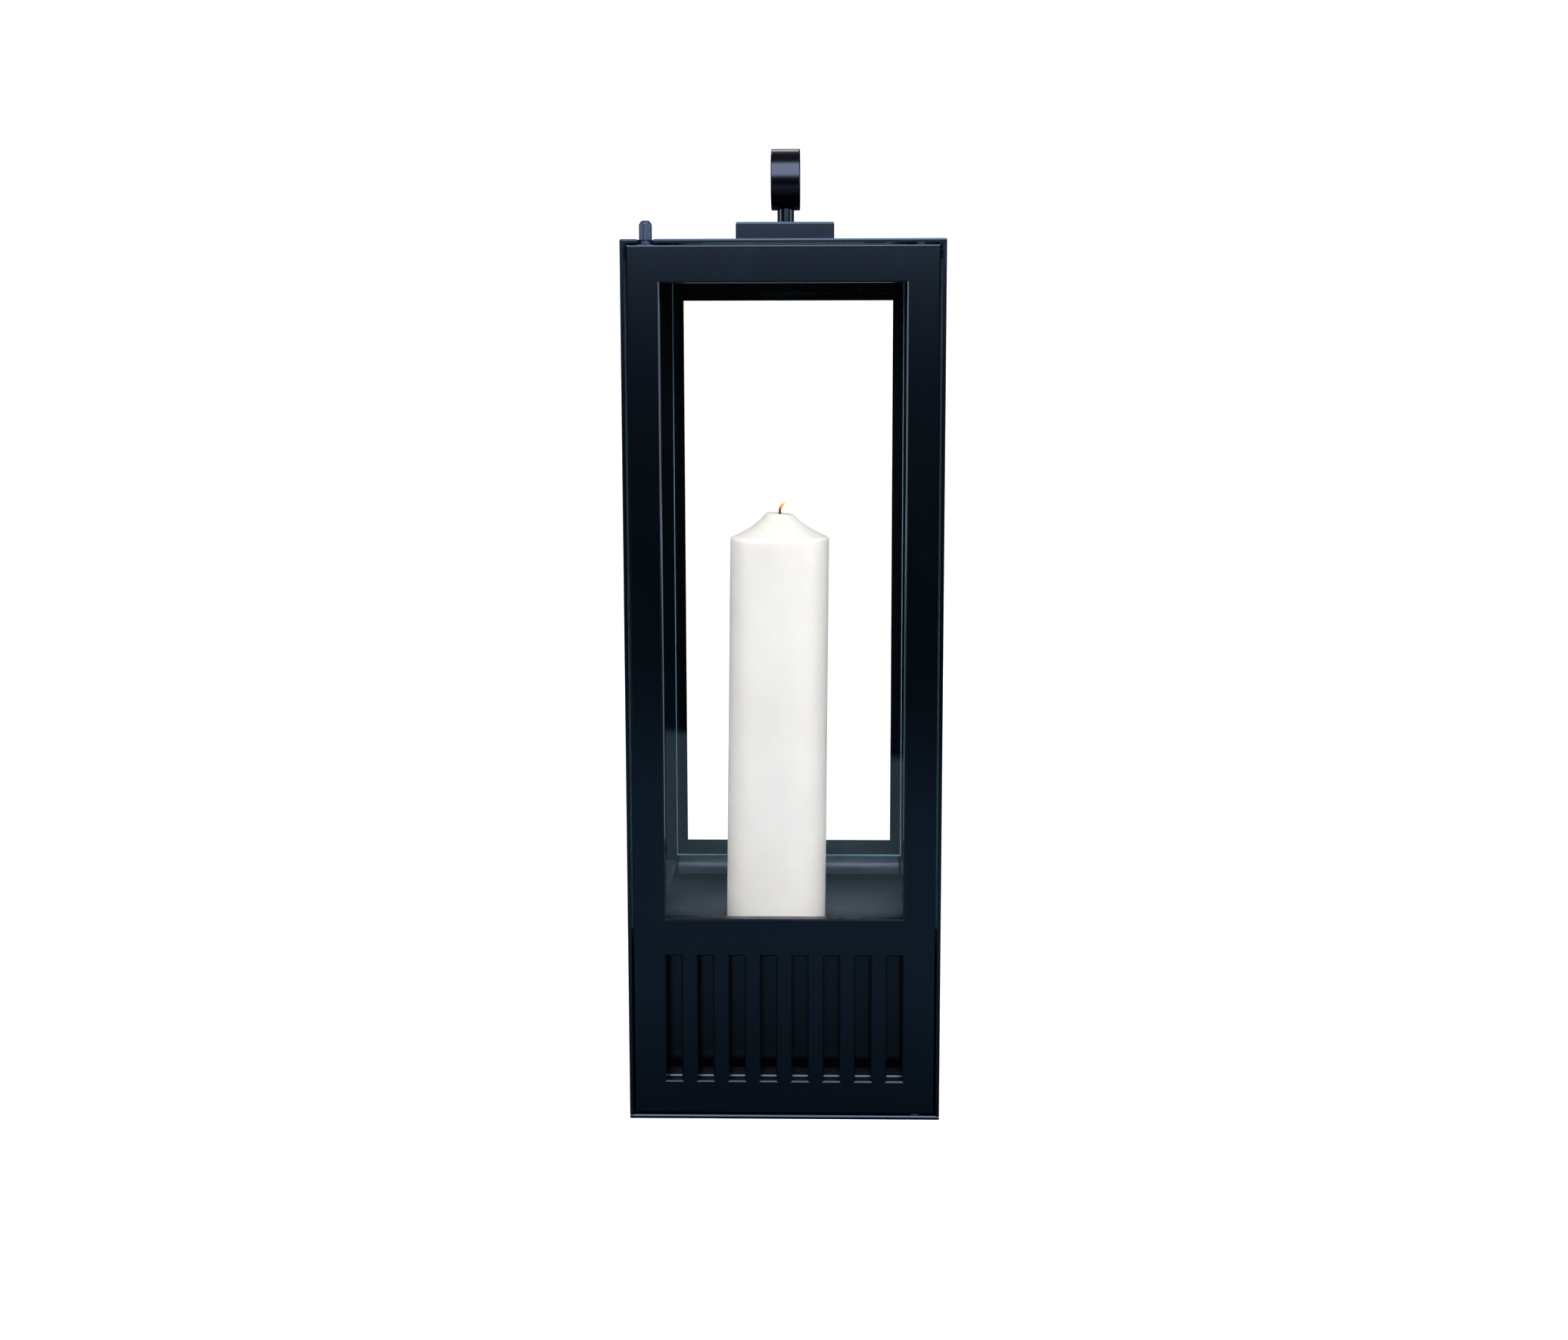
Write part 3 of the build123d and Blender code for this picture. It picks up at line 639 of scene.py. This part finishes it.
def node_tree(name, sizes):
    """An empty Geometry Nodes tree with these sizes and a material as its inputs, and the wire of each."""
    tree = bpy.data.node_groups.new(name, "GeometryNodeTree")
    tree.interface.new_socket("Geometry", in_out="INPUT", socket_type="NodeSocketGeometry")
    for label in sizes:
        tree.interface.new_socket(label, in_out="INPUT", socket_type="NodeSocketFloat")
    tree.interface.new_socket("Material", in_out="INPUT", socket_type="NodeSocketMaterial")
    tree.interface.new_socket("Geometry", in_out="OUTPUT", socket_type="NodeSocketGeometry")
    wire = Wire(tree)
    entry = wire.node("NodeGroupInput").socket.node
    return wire, {socket.name: Wire(tree, socket) for socket in entry.outputs if socket.name}


def close_tree(wire, geometry, material):
    """Ends a tree in Realize Instances and Set Material, and gives it back."""
    solid = wire.node("GeometryNodeRealizeInstances", None, {0: geometry})
    finished = wire.node("GeometryNodeSetMaterial", None, {0: solid, 2: material})
    wire.node("NodeGroupOutput", None, {0: finished})
    return wire.tree


def set_on_points(wire, given, shape):
    """Sets a shape on every point, turned to the direction kept with the point, and ends the tree."""
    aim = wire.node("GeometryNodeInputNamedAttribute", {"data_type": "FLOAT_VECTOR"}, {"Name": "aim"})
    facing = wire.node("FunctionNodeAlignRotationToVector", {"axis": "Z"}, {"Vector": aim})
    spread = wire.node("GeometryNodeInstanceOnPoints", None, {
        "Points": given["Geometry"], "Instance": shape, "Rotation": facing})
    return close_tree(wire, spread, given["Material"])


def twisted_strands():
    """Strands that twist round each other along a path."""
    wire, given = node_tree("twisted_strands", ("Strand radius", "Lay radius", "Pitch"))
    path = wire.node("GeometryNodeMeshToCurve", None, {0: given["Geometry"]})
    path = wire.node("GeometryNodeResampleCurve", {"mode": "LENGTH"},
                     {"Curve": path, "Length": WICK_POINT_STEP})
    turn = wire.node("GeometryNodeSplineParameter", out="Length") / given["Pitch"] * FULL_TURN
    normal = wire.node("GeometryNodeInputNormal")
    tangent = wire.node("GeometryNodeInputTangent")
    across = wire.node("ShaderNodeVectorMath", {"operation": "CROSS_PRODUCT"}, {0: tangent, 1: normal})
    profile = wire.node("GeometryNodeCurvePrimitiveCircle", None,
                        {"Resolution": STRAND_SIDES, "Radius": given["Strand radius"]})
    tubes = []
    for strand in range(WICK_STRANDS):
        angle = turn + strand * FULL_TURN / WICK_STRANDS
        sideways = []
        for direction, wave in ((normal, "COSINE"), (across, "SINE")):
            share = wire.math(wave, angle) * given["Lay radius"]
            sideways.append(wire.node(
                "ShaderNodeVectorMath", {"operation": "SCALE"}, {0: direction, "Scale": share}))
        offset = wire.node("ShaderNodeVectorMath", {"operation": "ADD"}, dict(enumerate(sideways)))
        line = wire.node("GeometryNodeSetPosition", None, {"Geometry": path, "Offset": offset})
        tubes.append(wire.node("GeometryNodeCurveToMesh", None,
                               {"Curve": line, "Profile Curve": profile, "Fill Caps": True}))
    joined = wire.node("GeometryNodeJoinGeometry", None, {0: tubes})
    return close_tree(wire, wire.node("GeometryNodeSetShadeSmooth", None, {0: joined}), given["Material"])


def thread_ridges():
    """A screw thread's ridge, wound round every point along the direction kept with it."""
    wire, given = node_tree("thread_ridges", ("Radius", "Pitch", "Turns", "Ridge"))
    helix = wire.node("GeometryNodeCurveSpiral", None, {
        "Resolution": RIDGE_POINTS, "Rotations": given["Turns"], "Start Radius": given["Radius"],
        "End Radius": given["Radius"], "Height": given["Pitch"] * given["Turns"]})
    profile = wire.node("GeometryNodeCurvePrimitiveCircle", None,
                        {"Resolution": RIDGE_SIDES, "Radius": given["Ridge"]})
    ridge = wire.node("GeometryNodeCurveToMesh", None,
                      {"Curve": helix, "Profile Curve": profile, "Fill Caps": True})
    return set_on_points(wire, given, ridge)


def hexagon_nuts():
    """A hexagon nut with turned-down corners and a bore, set on every point along its kept direction."""
    wire, given = node_tree("hexagon_nuts", ("Flats", "Height", "Bore"))
    corner = given["Flats"] / math.sqrt(3)
    prism = wire.node("GeometryNodeMeshCylinder", None, {
        "Vertices": 6, "Radius": corner, "Depth": given["Height"]})
    ball = wire.node("GeometryNodeMeshUVSphere", None, {
        "Segments": BALL_SEGMENTS, "Rings": BALL_RINGS, "Radius": 1.0})
    reach = BALL_REACH * corner
    spread = wire.node("ShaderNodeCombineXYZ", None, {0: reach, 1: reach, 2: BALL_RISE * given["Height"]})
    ball = wire.node("GeometryNodeTransform", None, {
        "Geometry": ball, "Rotation": (0.0, 0.0, BALL_TURN), "Scale": spread})
    turned_prism = wire.node("GeometryNodeMeshBoolean", {"operation": "INTERSECT", "solver": "EXACT"},
                             {1: [prism, ball]})
    hole = wire.node("GeometryNodeMeshCylinder", None, {
        "Vertices": BORE_SIDES, "Radius": given["Bore"], "Depth": 2.0 * given["Height"]})
    nut = wire.node("GeometryNodeMeshBoolean", {"operation": "DIFFERENCE", "solver": "EXACT"},
                    {0: turned_prism, 1: hole})
    return set_on_points(wire, given, nut)


def grown_mesh(tree, points, edges, values, attributes=None):
    """Runs a tree on a small mesh of points and edges and gives back the plain mesh that comes out."""
    seed = bpy.data.meshes.new("seed")
    seed.from_pydata(points, edges, [])
    for label, vectors in (attributes or {}).items():
        layer = seed.attributes.new(label, "FLOAT_VECTOR", "POINT")
        layer.data.foreach_set("vector", [c for vector in vectors for c in vector])
    host = add_object("seed", seed)
    modifier = host.modifiers.new("grow", "NODES")
    modifier.node_group = tree
    identifiers = {item.name: item.identifier for item in tree.interface.items_tree
                   if item.item_type == "SOCKET" and item.in_out == "INPUT"}
    for label, value in values.items():
        modifier[identifiers[label]] = value
    bpy.context.view_layer.update()
    result = bpy.data.meshes.new_from_object(host.evaluated_get(bpy.context.evaluated_depsgraph_get()))
    host.modifiers.remove(modifier)
    bpy.data.objects.remove(host)
    bpy.data.meshes.remove(seed)
    return result


def wick_mesh(material):
    """The wick: up through the wax, then bent over to one side."""
    wax_low, wax_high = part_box("candle")
    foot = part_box("wick")[0].z
    bend_foot = wax_high.z + WICK_RISE
    path = [(0.0, foot + (bend_foot - foot) * i / WICK_RISE_STEPS) for i in range(WICK_RISE_STEPS)]
    for share in steps(WICK_BEND_STEPS, 0):
        turn = WICK_TURN * share
        path.append((WICK_BEND * (1 - math.cos(turn)), bend_foot + WICK_BEND * math.sin(turn)))
    end_x, end_z = path[-1]
    path.append((end_x + WICK_END * math.sin(WICK_TURN), end_z + WICK_END * math.cos(WICK_TURN)))
    axis = axis_of("candle")[0], axis_of("wick")[1]
    line = [lean(x, 0.0, z, axis, wax_low.z) for x, z in path]
    return grown_mesh(
        twisted_strands(), line, [(i, i + 1) for i in range(len(line) - 1)],
        {"Strand radius": WICK_STRAND, "Lay radius": WICK_LAY, "Pitch": WICK_PITCH, "Material": material})


def middles(node):
    """The middle of each solid of a node that holds several small ones."""
    shape = bmesh.new()
    shape.from_mesh(nodes[node].data)
    bmesh.ops.remove_doubles(shape, verts=shape.verts, dist=0.001 * MM)
    left = set(shape.verts)
    found = []
    while left:
        group, waiting = set(), {left.pop()}
        while waiting:
            vert = waiting.pop()
            group.add(vert)
            waiting.update(edge.other_vert(vert) for edge in vert.link_edges)
            waiting -= group
        left -= group
        spots = [vert.co for vert in group]
        found.append(Vector([(min(s[k] for s in spots) + max(s[k] for s in spots)) / 2 for k in range(3)]))
    shape.free()
    return sorted(found, key=lambda spot: tuple(round(c, 5) for c in spot))


def clip_nuts(*walls):
    """The nodes of the clips' nuts on these walls, and the way each faces."""
    return {f"{wall}_clip_nuts": INWARD[wall] for wall in walls}


def nuts_and_threads(label, body, facing, trees, material, flats, height, thread, pitch, tail):
    """Hexagon nuts in place of the nodes in facing, which gives the way each node's nuts face, and the stud
    threads beyond them."""
    places = [(middle, aim) for node, aim in facing.items() for middle in middles(node)]
    aims = {"aim": [aim for _, aim in places]}
    nut_tree, thread_tree = trees
    nuts = grown_mesh(
        nut_tree, [middle for middle, _ in places], [],
        {"Flats": flats, "Height": height, "Bore": thread / 2, "Material": material}, aims)
    add_piece(f"{label}_nuts", nuts, material, body, "steel", *facing)
    threads = grown_mesh(
        thread_tree, [middle + aim * height / 2 for middle, aim in places], [],
        {"Radius": thread / 2 - THREAD_SINK, "Pitch": pitch, "Turns": tail / pitch,
         "Ridge": RIDGE_SHARE * pitch, "Material": material}, aims)
    add_piece(f"{label}_threads", threads, material, body, "steel")


def softbox(name, place, target, width, height, power, colour):
    """A rectangular lamp that faces a point."""
    lamp = bpy.data.lights.new(name, "AREA")
    lamp.shape = "RECTANGLE"
    lamp.size = width
    lamp.size_y = height
    lamp.energy = power
    lamp.color = colour
    stand = add_object(name, lamp)
    stand.location = place
    stand.rotation_euler = (Vector(target) - Vector(place)).to_track_quat("-Z", "Y").to_euler()
    stand.visible_camera = False


def studio_background():
    """Plain white to the eye. What the surfaces mirror of it is dim and cool, with more light behind the
    case, at the sides and overhead."""
    world = bpy.data.worlds.new("studio")
    world.use_nodes = True
    world.node_tree.nodes.clear()
    tree = Wire(world.node_tree)
    direction = tree.node("ShaderNodeTexCoord", out="Generated")
    behind = direction.part("Y").span(-0.3, 0.5)
    aside = abs(direction.part("X")).span(0.60, 0.95)
    above = direction.part("Z").span(0.45, 0.95)
    level = SKY_LEVEL + SKY_BEHIND * behind + SKY_ASIDE * aside + SKY_ABOVE * above
    soft = tree.node("ShaderNodeBackground", None, {"Color": rgb(0.86, 0.94, 1.0), "Strength": level})
    plain = tree.node("ShaderNodeBackground", None, {"Color": grey(1.0), "Strength": SKY_SEEN})
    seen = tree.node("ShaderNodeLightPath", out="Is Camera Ray")
    mixed = tree.node("ShaderNodeMixShader", None, {0: seen, 1: soft, 2: plain})
    tree.node("ShaderNodeOutputWorld", None, {"Surface": mixed})
    return world


# Finishes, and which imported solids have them
BLUE_BLACK = {
    "deep": rgb(0.0003, 0.0008, 0.0012), "pale": rgb(0.0006, 0.0013, 0.0019), "rough": (0.18, 0.23),
    "shine": 0.47}
coat = powder_coat("coat_blue_black", **BLUE_BLACK)
# Hood and collar: the blue-black coat a touch lighter, painted light
coat_hood_painted_light = powder_coat(
    "coat_hood_painted_light", deep=rgb(0.0004, 0.0009, 0.0014), pale=rgb(0.0008, 0.0014, 0.0020), rough=(0.19, 0.24),
    shine=0.47)
# Shelf and ledges: lighter from just under the shelf's top upwards, dust and painted light together
coat_shelf = powder_coat(
    "coat_shelf", **BLUE_BLACK, gleam=rgb(0.68, 0.77, 0.96),
    dust_and_light_from=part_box("candle_shelf")[1].z - DUST_AND_LIGHT_UNDER_TOP)
# Pull pin: the blue-black coat made lighter, painted light that the pin catches
coat_pin_painted_light = powder_coat(
    "coat_pin_painted_light", deep=rgb(0.020, 0.027, 0.041), pale=rgb(0.028, 0.037, 0.055), rough=(0.36, 0.46), shine=0.40)
coat_ring = powder_coat(
    "coat_ring", deep=rgb(0.0002, 0.0003, 0.0004), pale=rgb(0.0004, 0.0005, 0.0006), rough=(0.21, 0.27),
    shine=0.40, gleam=rgb(0.64, 0.72, 0.96))
zinc = bright_metal(
    "zinc_plated_steel", deep=rgb(0.50, 0.51, 0.53), pale=rgb(0.68, 0.69, 0.70), rough=(0.26, 0.42),
    lines=(300.0, 300.0, 900.0))
turned = bright_metal(
    "turned_aluminium", deep=rgb(0.66, 0.67, 0.68), pale=rgb(0.80, 0.81, 0.82), rough=(0.20, 0.32),
    lines=(60.0, 60.0, 2600.0))
nickel = bright_metal(
    "nickel_plate", deep=rgb(0.60, 0.57, 0.52), pale=rgb(0.72, 0.69, 0.64), rough=(0.12, 0.22),
    lines=(500.0, 500.0, 500.0))
nylon = moulded_nylon("moulded_nylon")
glass_sides = clear_glass("float_glass_sides", "Y")
glass_faces = clear_glass("float_glass_faces", "X")

finishes = {
    coat: ["top_plate", "bottom_plate", "left_panel", "right_panel", "back_panel", "door_panel"]
    + [f"{wall}_clips" for wall in INWARD],
    coat_shelf: ["candle_shelf", "left_ledge", "right_ledge", "door_ledge"],
    coat_hood_painted_light: ["cap_hood", "handle_collar"],
    coat_ring: ["ring_handle"],
    glass_sides: ["left_pane", "right_pane"],
    glass_faces: ["back_pane", "door_pane"],
    zinc: ["handle_screw", "handle_washer", "pivot_pin_top", "pivot_pin_bottom", "strike_plate"],
    turned: ["cap_spacers"],
    nickel: ["catch_magnet"],
    nylon: ["catch_block", "pivot_washer_top", "pivot_washer_bottom"],
}
for material, names in finishes.items():
    for name in names:
        nodes[name].data.materials.clear()
        nodes[name].data.materials.append(material)

# Ledge under the back pane, and pull pin
add_piece("rolled_back_ledge", rolled_ledge_mesh("back_ledge"), coat_shelf, "case", "dark_coat", "back_ledge")
add_piece("turned_pull_pin", pull_pin_mesh(), coat_pin_painted_light, "door", "pin_metal", "pull_pin")

# Candle and wick
wax_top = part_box("candle")[1].z
wax = candle_wax("ivory_wax", wax_top)
cotton = wick_cotton("wick_cotton", wax_top - DISH_DEPTH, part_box("wick")[1].z)
add_piece("candle_wax", candle_mesh(), wax, "case", "wax", "candle")
add_piece("wick_braid", wick_mesh(cotton), cotton, "case", "cotton", "wick")

# Nuts and the threads that stand out of them
fastener_trees = (hexagon_nuts(), thread_ridges())
for label, body, facing, size in (
        ("wall_pane", "case", clip_nuts("left", "right", "back"), CLIP_NUT),
        ("door_pane", "door", clip_nuts("door"), CLIP_NUT),
        ("hood", "case", {"cap_nuts": DOWN}, HOOD_NUT),
        ("handle", "ring", {"handle_nut": DOWN}, HANDLE_NUT)):
    nuts_and_threads(label, body, facing, fastener_trees, zinc, **size)

# Floor, lamps and background
floor_mesh = bpy.data.meshes.new("floor")
floor_corners = [(-1, -1), (1, -1), (1, 1), (-1, 1)]
floor_mesh.from_pydata(
    [(FLOOR_REACH * x, FLOOR_REACH * y, 0.0) for x, y in floor_corners], [], [(0, 1, 2, 3)])
floor_mesh.materials.append(floor_paper("floor_paper"))
add_object("floor", floor_mesh)

softbox("front_softbox", place=(0.30, -1.69, 1.90), target=(0.0, -0.02, 0.77), width=2.2, height=1.95,
        power=118.0, colour=COOL_WHITE)
softbox("left_softbox", place=(-1.9, -0.5, 0.9), target=(0.0, 0.0, 0.4), width=0.8, height=1.4,
        power=18.0, colour=WARM_WHITE)
softbox("right_softbox", place=(1.9, -0.5, 0.9), target=(0.0, 0.0, 0.4), width=0.8, height=1.4,
        power=16.0, colour=WARM_WHITE)
softbox("back_softbox", place=(-0.5, 1.3, 2.3), target=(0.0, 0.0, 0.4), width=1.4, height=0.8,
        power=10.0, colour=WARM_WHITE)
bpy.context.scene.world = studio_background()
bpy.context.scene.view_settings.view_transform = "Standard"

# Camera
lens = bpy.data.cameras.new("camera")
lens.sensor_width = CAMERA_SENSOR
lens.lens = CAMERA_LENS
lens.shift_y = CAMERA_SHIFT
lens.clip_start = CAMERA_NEAR
camera = add_object("camera", lens)
camera.location = CAMERA_PLACE
camera.rotation_euler = [math.radians(turn) for turn in (90.0 - CAMERA_TILT, CAMERA_ROLL, CAMERA_YAW)]
bpy.context.scene.camera = camera
